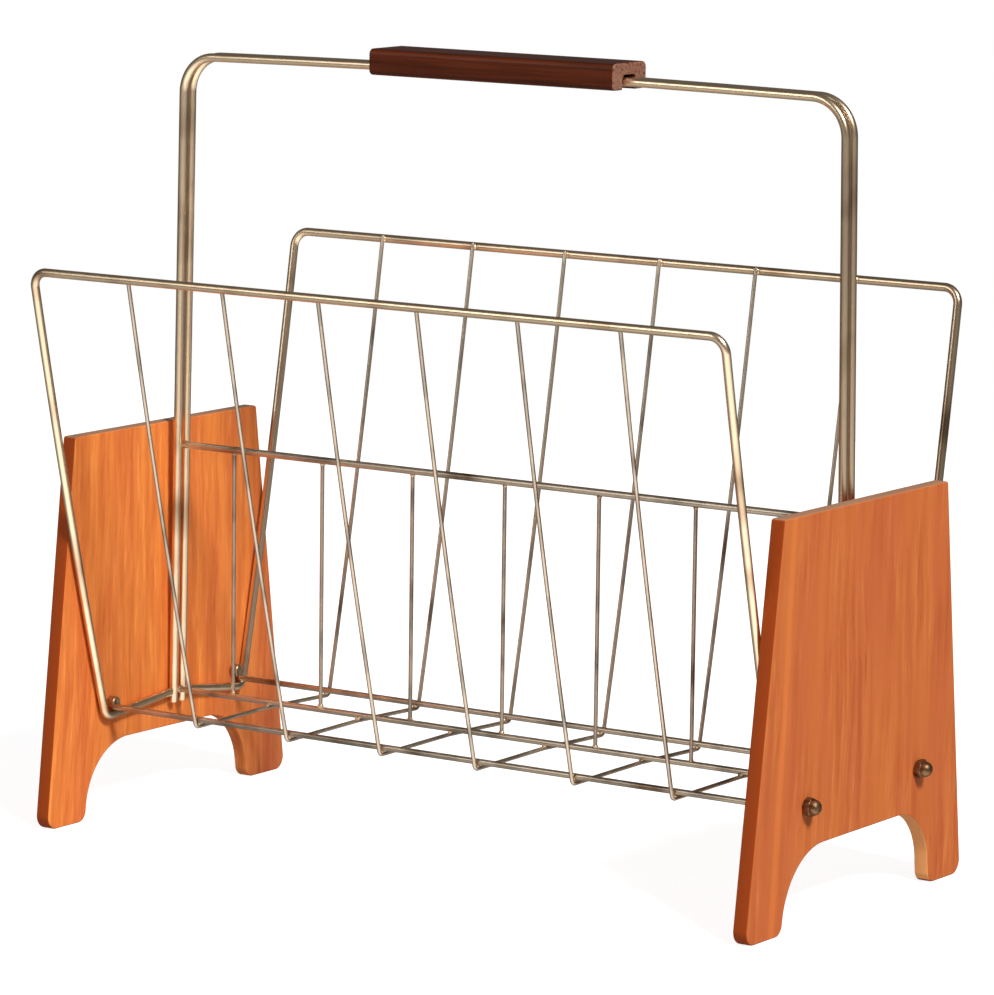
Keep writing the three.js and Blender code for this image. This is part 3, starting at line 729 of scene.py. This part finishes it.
class BASKET_OT_end_panels(bpy.types.Operator):
    """Cut the two teak end panels"""
    bl_idname = "basket.end_panels"
    bl_label = "End panels"

    def execute(self, context):
        wood = context.scene.basket_wood
        corner_steps, hole_sides, edge_steps = 20, 24, 3
        # A face that turns less than this towards X is on an edge. The margin takes in the arch's
        # rounded edge.
        edge_normal, margin = 0.7, 1 * MM
        bottom, top = wood.panel_bottom / 2, wood.panel_top / 2
        arch_bottom, arch_top = wood.arch_bottom / 2, wood.arch_top / 2
        for hand, side in (("left", -1), ("right", 1)):
            name = hand + "_end_panel"
            low, high = box(name)
            shift = (low.y + high.y) / 2
            thickness = high.x - low.x - wood.splay
            rises, corners, insets = (getattr(wood, f"{hand}_{part}")
                                      for part in ("arch", "corner", "inset"))
            outline = rounded_outline([
                (-bottom, 0, wood.foot_heel), (insets[0] - arch_bottom, 0, wood.foot_toe),
                (insets[0] - arch_top, rises[0], corners[0]),
                (arch_top - insets[1], rises[1], corners[1]),
                (arch_bottom - insets[1], 0, wood.foot_toe), (bottom, 0, wood.foot_heel),
                (top, high.z, wood.top_corner), (-top, high.z, wood.top_corner)], corner_steps)
            holes = []
            for half in HALVES:
                place = middle(f"{hand}_{half}_stud_boss")
                holes.append([Vector((place.y - shift + wood.hole / 2 * math.cos(a),
                                      place.z + wood.hole / 2 * math.sin(a)))
                              for a in (2 * math.pi * i / hole_sides for i in range(hole_sides))])
            mesh = slab(name, outline, holes, thickness, wood.panel_edge, edge_steps)
            inner = high.x - thickness - wood.splay if side > 0 else low.x + thickness + wood.splay
            lean = side * wood.splay / high.z
            mesh.transform(Matrix.Translation((inner + side * thickness / 2, shift, 0)))
            mesh.transform(Matrix(((1, 0, lean, 0), (0, 1, 0, 0), (0, 0, 1, 0), (0, 0, 0, 1))))
            mesh.materials.append(material("teak_sliced_oiled"))
            marks = {"leaf": [], "planed": [], "sawn": [], "top": []}
            for polygon in mesh.polygons:
                edge = abs(polygon.normal.x) < edge_normal
                in_arch = (abs(polygon.center.y - shift) < arch_bottom + margin
                           and polygon.center.z < max(rises) + margin)
                marks["leaf"].append(float(side < 0))
                marks["planed"].append(float(edge and not in_arch))
                marks["sawn"].append(float(edge and in_arch and side > 0))
                # The top mark picks the up-facing edges that take the painted shade of the top tone.
                marks["top"].append(float(edge and polygon.normal.z > edge_normal))
            for mark, values in marks.items():
                mesh.attributes.new(mark, "FLOAT", "FACE").data.foreach_set("value", values)
            keep_piece(name + "_wood", mesh, [name])
        return {"FINISHED"}


class BASKET_OT_frames(bpy.types.Operator):
    """Bend the front and rear frame wires and the two handle rods"""
    bl_idname = "basket.frames"
    bl_label = "Frames and handle"

    def execute(self, context):
        wires = context.scene.basket_wires
        round_wires([half + part for part in ("_frame_wire", "_handle_rod") for half in HALVES],
                    wires.frame_wire, "frame_wire_brass_plated", wires.sides)
        return {"FINISHED"}


class BASKET_OT_floor(bpy.types.Operator):
    """Lay the three long wires of the floor"""
    bl_idname = "basket.floor"
    bl_label = "Floor wires"

    def execute(self, context):
        wires = context.scene.basket_wires
        round_wires(FLOOR_WIRES, wires.floor_wire, "thin_wire_brass_plated",
                    wires.sides)
        return {"FINISHED"}


class BASKET_OT_ribs(bpy.types.Operator):
    """Bend the rib wires that join the rails under the floor"""
    bl_idname = "basket.ribs"
    bl_label = "Rib wires"

    def execute(self, context):
        wires = context.scene.basket_wires
        round_wires(sorted(like("rib_wire_")), wires.thin_wire, "thin_wire_brass_plated",
                    wires.thin_sides)
        return {"FINISHED"}


class BASKET_OT_divider(bpy.types.Operator):
    """Set the divider's rail and its row of uprights"""
    bl_idname = "basket.divider"
    bl_label = "Divider"

    def execute(self, context):
        wires = context.scene.basket_wires
        round_wires(["divider_rail"], wires.divider_rail, "thin_wire_brass_plated",
                    wires.sides)
        nodes = sorted(like("divider_wire_"))
        first, last = middle(nodes[0]), middle(nodes[-1])
        tall = span(nodes[0], "Z")
        mesh = grown("divider_uprights", bpy.data.meshes.new("divider_seed"), upright_row_tree(), {
            "Count": len(nodes), "First": first - Vector((0, 0, tall / 2)),
            "Step": (last - first) / (len(nodes) - 1), "Height": tall, "Diameter": wires.thin_wire,
            "Sides": wires.thin_sides, "Material": material("thin_wire_brass_plated")})
        keep_piece("divider_uprights", mesh, nodes)
        return {"FINISHED"}


class BASKET_OT_grip(bpy.types.Operator):
    """Shape the wooden grip with its groove for the handle rods"""
    bl_idname = "basket.grip"
    bl_label = "Grip"

    def execute(self, context):
        wood, wires = context.scene.basket_wood, context.scene.basket_wires
        corner_steps, end_steps, sharp = 8, 5, math.radians(30)
        # A face that turns more than this towards X is on a sawn end.
        end_normal = 0.4
        low, high = box("handle_grip")
        centre, half = (low.y + high.y) / 2, (high.y - low.y) / 2
        spacing = middle("rear_handle_rod").y - middle("front_handle_rod").y
        seat = wires.frame_wire / 2 + wood.groove_play
        groove = spacing / 2 + seat
        ceiling = low.z + wood.grip_lip + wires.frame_wire + wood.groove_room
        outline = rounded_outline([
            (-half, low.z, wood.grip_edge), (-groove, low.z, 0), (-groove, ceiling, seat),
            (groove, ceiling, seat), (groove, low.z, 0), (half, low.z, wood.grip_edge),
            (half, high.z, wood.grip_edge), (-half, high.z, wood.grip_edge)], corner_steps)
        mesh = slab("handle_grip_wood", outline, [], high.x - low.x, wood.grip_end, end_steps)
        mesh.transform(Matrix.Translation(((low.x + high.x) / 2, centre, 0)))
        mesh.materials.append(material("rosewood_planed_polished"))
        mesh.materials.append(material("rosewood_sawn_end"))
        for polygon in mesh.polygons:
            polygon.material_index = int(abs(polygon.normal.x) > end_normal)
        mesh.polygons.foreach_set("use_smooth", [True] * len(mesh.polygons))
        mesh.set_sharp_from_angle(angle=sharp)
        source = placed("grip_source", mesh)
        weights = source.modifiers.new("Weights", "WEIGHTED_NORMAL")
        weights.keep_sharp = True
        keep_piece("handle_grip_wood", evaluated_mesh(source, "handle_grip_wood"), ["handle_grip"])
        return {"FINISHED"}


class BASKET_OT_fasteners(bpy.types.Operator):
    """Put the stud bosses and the domed cap nuts on the end panels"""
    bl_idname = "basket.fasteners"
    bl_label = "Studs and cap nuts"

    def execute(self, context):
        sizes = context.scene.basket_nuts
        tree = fastener_tree()
        twists = {"left_front": 0.3, "left_rear": 0.9, "right_front": 0.15, "right_rear": 0.62}
        for part, model, finish, slot in (
                ("cap_nut", cap_nut_model(sizes), "brass_turned_aged", "nut_brass"),
                ("stud_boss", stud_boss_model(sizes), "brass_turned_dull", "boss_brass")):
            nodes = [f"{corner}_{part}" for corner in twists]
            places, turns = [], []
            for node, twist in zip(nodes, twists.values()):
                low, high = box(node)
                at_left = node.startswith("left")
                inset = sizes.boss if part == "stud_boss" else 0.0
                inner = high.x - inset if at_left else low.x + inset
                places.append((inner, (low.y + high.y) / 2, (low.z + high.z) / 2))
                turns.append((twist, 0.0, math.pi if at_left else 0.0))
            seed = seed_points(part + "_seed", places, "turn", turns)
            template = placed(part + "_model", model)
            mesh = grown(part + "s", seed, tree, {"Fastener": template, "Material": material(finish)})
            bpy.data.objects.remove(template)
            keep_piece(part + "s", mesh, nodes)
        return {"FINISHED"}


class BASKET_OT_welds(bpy.types.Operator):
    """Put a weld bead wherever two wires are joined"""
    bl_idname = "basket.welds"
    bl_label = "Welds"

    def execute(self, context):
        wires = context.scene.basket_wires
        rail, inset = wires.frame_wire / 2, 0.4 * MM
        # How far each kind of bead reaches along X, Y and Z, as a share of its radius.
        rail_bead, crossing_bead, end_bead = (1.0, 0.8, 1.3), (0.95, 1.1, 0.95), (1.3, 1.5, 1.5)
        foot_bead, head_bead = (1.05, 1.0, 0.9), (1.05, 1.0, 0.7)
        beads = []
        for node in like("rib_wire_"):
            line = [place for place, _ in centre_line(node, wires.thin_wire)]
            front, rear = sorted((line[0], line[-1]), key=lambda place: place.y)
            low, high = box("front_frame_wire")
            beads.append(((front.x, (front.y + low.y + rail) / 2 + inset, high.z - rail), rail_bead))
            low, high = box("rear_frame_wire")
            beads.append(((rear.x, (rear.y + high.y - rail) / 2 - inset, high.z - rail), rail_bead))
            for wire in FLOOR_WIRES:
                centre = middle(wire)
                crossings = [a + (b - a) * (centre.y - a.y) / (b.y - a.y)
                             for a, b in zip(line, line[1:])
                             if min(a.y, b.y) <= centre.y <= max(a.y, b.y) and a.y != b.y]
                under = min(crossings, key=lambda place: place.z)
                beads.append(((under.x, centre.y, (centre.z + under.z) / 2), crossing_bead))
        for node in like("divider_wire_"):
            low, high = box(node)
            for z, shape in ((low.z, foot_bead), (high.z, head_bead)):
                beads.append((((low.x + high.x) / 2, (low.y + high.y) / 2, z), shape))
        for wire in ("divider_rail", "centre_floor_wire"):
            low, high = box(wire)
            for x in (low.x, high.x):
                beads.append(((x, (low.y + high.y) / 2, (low.z + high.z) / 2), end_bead))
        places, shapes = zip(*beads)
        seed = seed_points("weld_seed", places, "shape", shapes)
        mesh = grown("weld_beads", seed, weld_bead_tree(), {
            "Radius": wires.weld_bead, "Unevenness": 0.9 * MM, "Seed": 4,
            "Material": material("weld_brass_plated")})
        keep_piece("weld_beads", mesh, [])
        return {"FINISHED"}


def soft_lamp(name, direction, distance, size, strength):
    """Hang a square soft box in a direction from the basket, which it lights with the given strength."""
    light = bpy.data.lights.new(name, "AREA")
    light.shape = "SQUARE"
    light.size = size
    # A lamp of this power shows a white surface that faces it at the given strength.
    light.energy = strength * (math.pi * distance) ** 2
    lamp = placed(name, light)
    basket_middle = Vector((0, 0, 0.2))
    towards = Vector(direction).normalized()
    lamp.location = basket_middle + towards * distance
    lamp.rotation_euler = towards.to_track_quat("Z", "Y").to_euler()


def seen_directly(tree, rays):
    """Tell whether a ray comes from the camera, straight or through something clear."""
    return add(tree, "ShaderNodeMath", (rays["Is Camera Ray"], rays["Is Transmission Ray"]),
               operation="MAXIMUM")


class BASKET_OT_stage(bpy.types.Operator):
    """Set up the camera, the floor, the lamps and the white surroundings"""
    bl_idname = "basket.stage"
    bl_label = "Stage"

    def execute(self, context):
        scene, studio = context.scene, context.scene.basket_studio
        aim = Vector(studio.target)
        turn, tilt, roll = studio.azimuth, studio.elevation, studio.roll
        back = Vector((math.sin(turn) * math.cos(tilt), -math.cos(turn) * math.cos(tilt), math.sin(tilt)))
        right = Vector((math.cos(turn), math.sin(turn), 0))
        up = back.cross(right)
        across = right * math.cos(roll) + up * math.sin(roll)
        upright = up * math.cos(roll) - right * math.sin(roll)
        lens = bpy.data.cameras.new("photo_camera")
        lens.sensor_fit = "HORIZONTAL"
        lens.angle = studio.view_width
        lens.clip_end = 100
        camera = placed("photo_camera", lens)
        camera.matrix_world = Matrix((across, upright, back)).transposed().to_4x4()
        camera.location = aim + back * studio.distance
        scene.camera = camera

        reach, shown_paper, dim_room = 1.5, 0.84, 0.1
        white = (1, 1, 1, 1)
        floor = bpy.data.meshes.new("floor")
        corners = [(-reach, -reach, 0), (reach, -reach, 0), (reach, reach, 0), (-reach, reach, 0)]
        floor.from_pydata(corners, [], [(0, 1, 2, 3)])
        paper, tree, shader = new_material("paper_matt_white")
        rays = add(tree, "ShaderNodeLightPath").outputs
        # The camera sees the paper nearly white, with the basket's shadow just showing.
        lift = add(tree, "ShaderNodeMath", (seen_directly(tree, rays), shown_paper), operation="MULTIPLY")
        plug(tree, shader, {
            "Base Color": linear("#bcbcbc"), "Roughness": 1.0, "Specular IOR Level": 0.0,
            "Emission Color": white, "Emission Strength": lift})
        # Reflections look through the paper at the surroundings, which hold its brightness.
        clear = add(tree, "ShaderNodeBsdfTransparent")
        both = add(tree, "ShaderNodeMixShader", (rays["Is Glossy Ray"], shader, clear))
        plug(tree, tree.nodes["Material Output"], {"Surface": both})
        floor.materials.append(paper)
        floor_piece = placed("floor", floor)

        world = bpy.data.worlds.new("studio")
        world.use_nodes = True
        tree = world.node_tree
        tree.nodes.clear()
        rays = add(tree, "ShaderNodeLightPath").outputs
        heading = add(tree, "ShaderNodeTexCoord").outputs["Generated"]
        # Metal sees bright paper below, brightest to the front right, under a dim room.
        facing = add(tree, "ShaderNodeVectorMath", (heading, (0.75, -0.6, -0.25)),
                     operation="DOT_PRODUCT").outputs["Value"]
        paper_glow = add(tree, "ShaderNodeMapRange", (facing, -0.2, 0.9, 0.25, 1.75),
                         interpolation_type="SMOOTHSTEP")
        height = add(tree, "ShaderNodeSeparateXYZ", (heading,)).outputs["Z"]
        below = add(tree, "ShaderNodeMapRange", (height, -0.05, -0.45), interpolation_type="SMOOTHSTEP")
        mirrored = add(tree, "ShaderNodeMix", {0: below, 2: dim_room, 3: paper_glow}, data_type="FLOAT")
        ambient, glossy, plain = (add(tree, "ShaderNodeBackground", (white, strength))
                                  for strength in (studio.ambient, mirrored, 1.0))
        lit = add(tree, "ShaderNodeMixShader", (rays["Is Glossy Ray"], ambient, glossy))
        shown = add(tree, "ShaderNodeMixShader", (seen_directly(tree, rays), lit, plain))
        add(tree, "ShaderNodeOutputWorld", {"Surface": shown})
        scene.world = world

        soft_lamp("lamp_above_right", (1, -0.42, 1.05), 6.0, 1.2, 1.06)
        soft_lamp("lamp_front_left", (-0.5, -1, 0.5), 3.0, 1.4, 0.2)
        scene.view_settings.view_transform = "Standard"
        return {"FINISHED"}


OPERATORS = (BASKET_OT_end_panels, BASKET_OT_frames, BASKET_OT_floor, BASKET_OT_ribs, BASKET_OT_divider,
             BASKET_OT_grip, BASKET_OT_fasteners, BASKET_OT_welds, BASKET_OT_stage)
SETTINGS = {"basket_wires": WireSizes, "basket_wood": WoodSizes, "basket_nuts": NutSizes,
            "basket_finishes": Finishes, "basket_studio": Studio}


class BASKET_PT_pieces(bpy.types.Panel):
    """Lists the basket's pieces and their sizes"""
    bl_idname = "BASKET_PT_pieces"
    bl_label = "Magazine basket"
    bl_space_type = "VIEW_3D"
    bl_region_type = "UI"
    bl_category = "Basket"

    def draw(self, context):
        for operator in OPERATORS:
            self.layout.operator(operator.bl_idname)
        for setting in SETTINGS:
            group = getattr(context.scene, setting)
            column = self.layout.box()
            for key in group.bl_rna.properties.keys():
                if key not in ("rna_type", "name"):
                    column.prop(group, key)


CLASSES = (*SETTINGS.values(), *OPERATORS, BASKET_PT_pieces)


def register():
    for kind in CLASSES:
        bpy.utils.register_class(kind)
    for name, group in SETTINGS.items():
        setattr(bpy.types.Scene, name, bpy.props.PointerProperty(type=group))


def unregister():
    for name in SETTINGS:
        delattr(bpy.types.Scene, name)
    for kind in reversed(CLASSES):
        bpy.utils.unregister_class(kind)


def main():
    register()
    bpy.ops.basket.end_panels()
    bpy.ops.basket.frames()
    bpy.ops.basket.floor()
    bpy.ops.basket.ribs()
    bpy.ops.basket.divider()
    bpy.ops.basket.grip()
    bpy.ops.basket.fasteners()
    bpy.ops.basket.welds()
    bpy.ops.basket.stage()


if __name__ == "__main__":
    main()
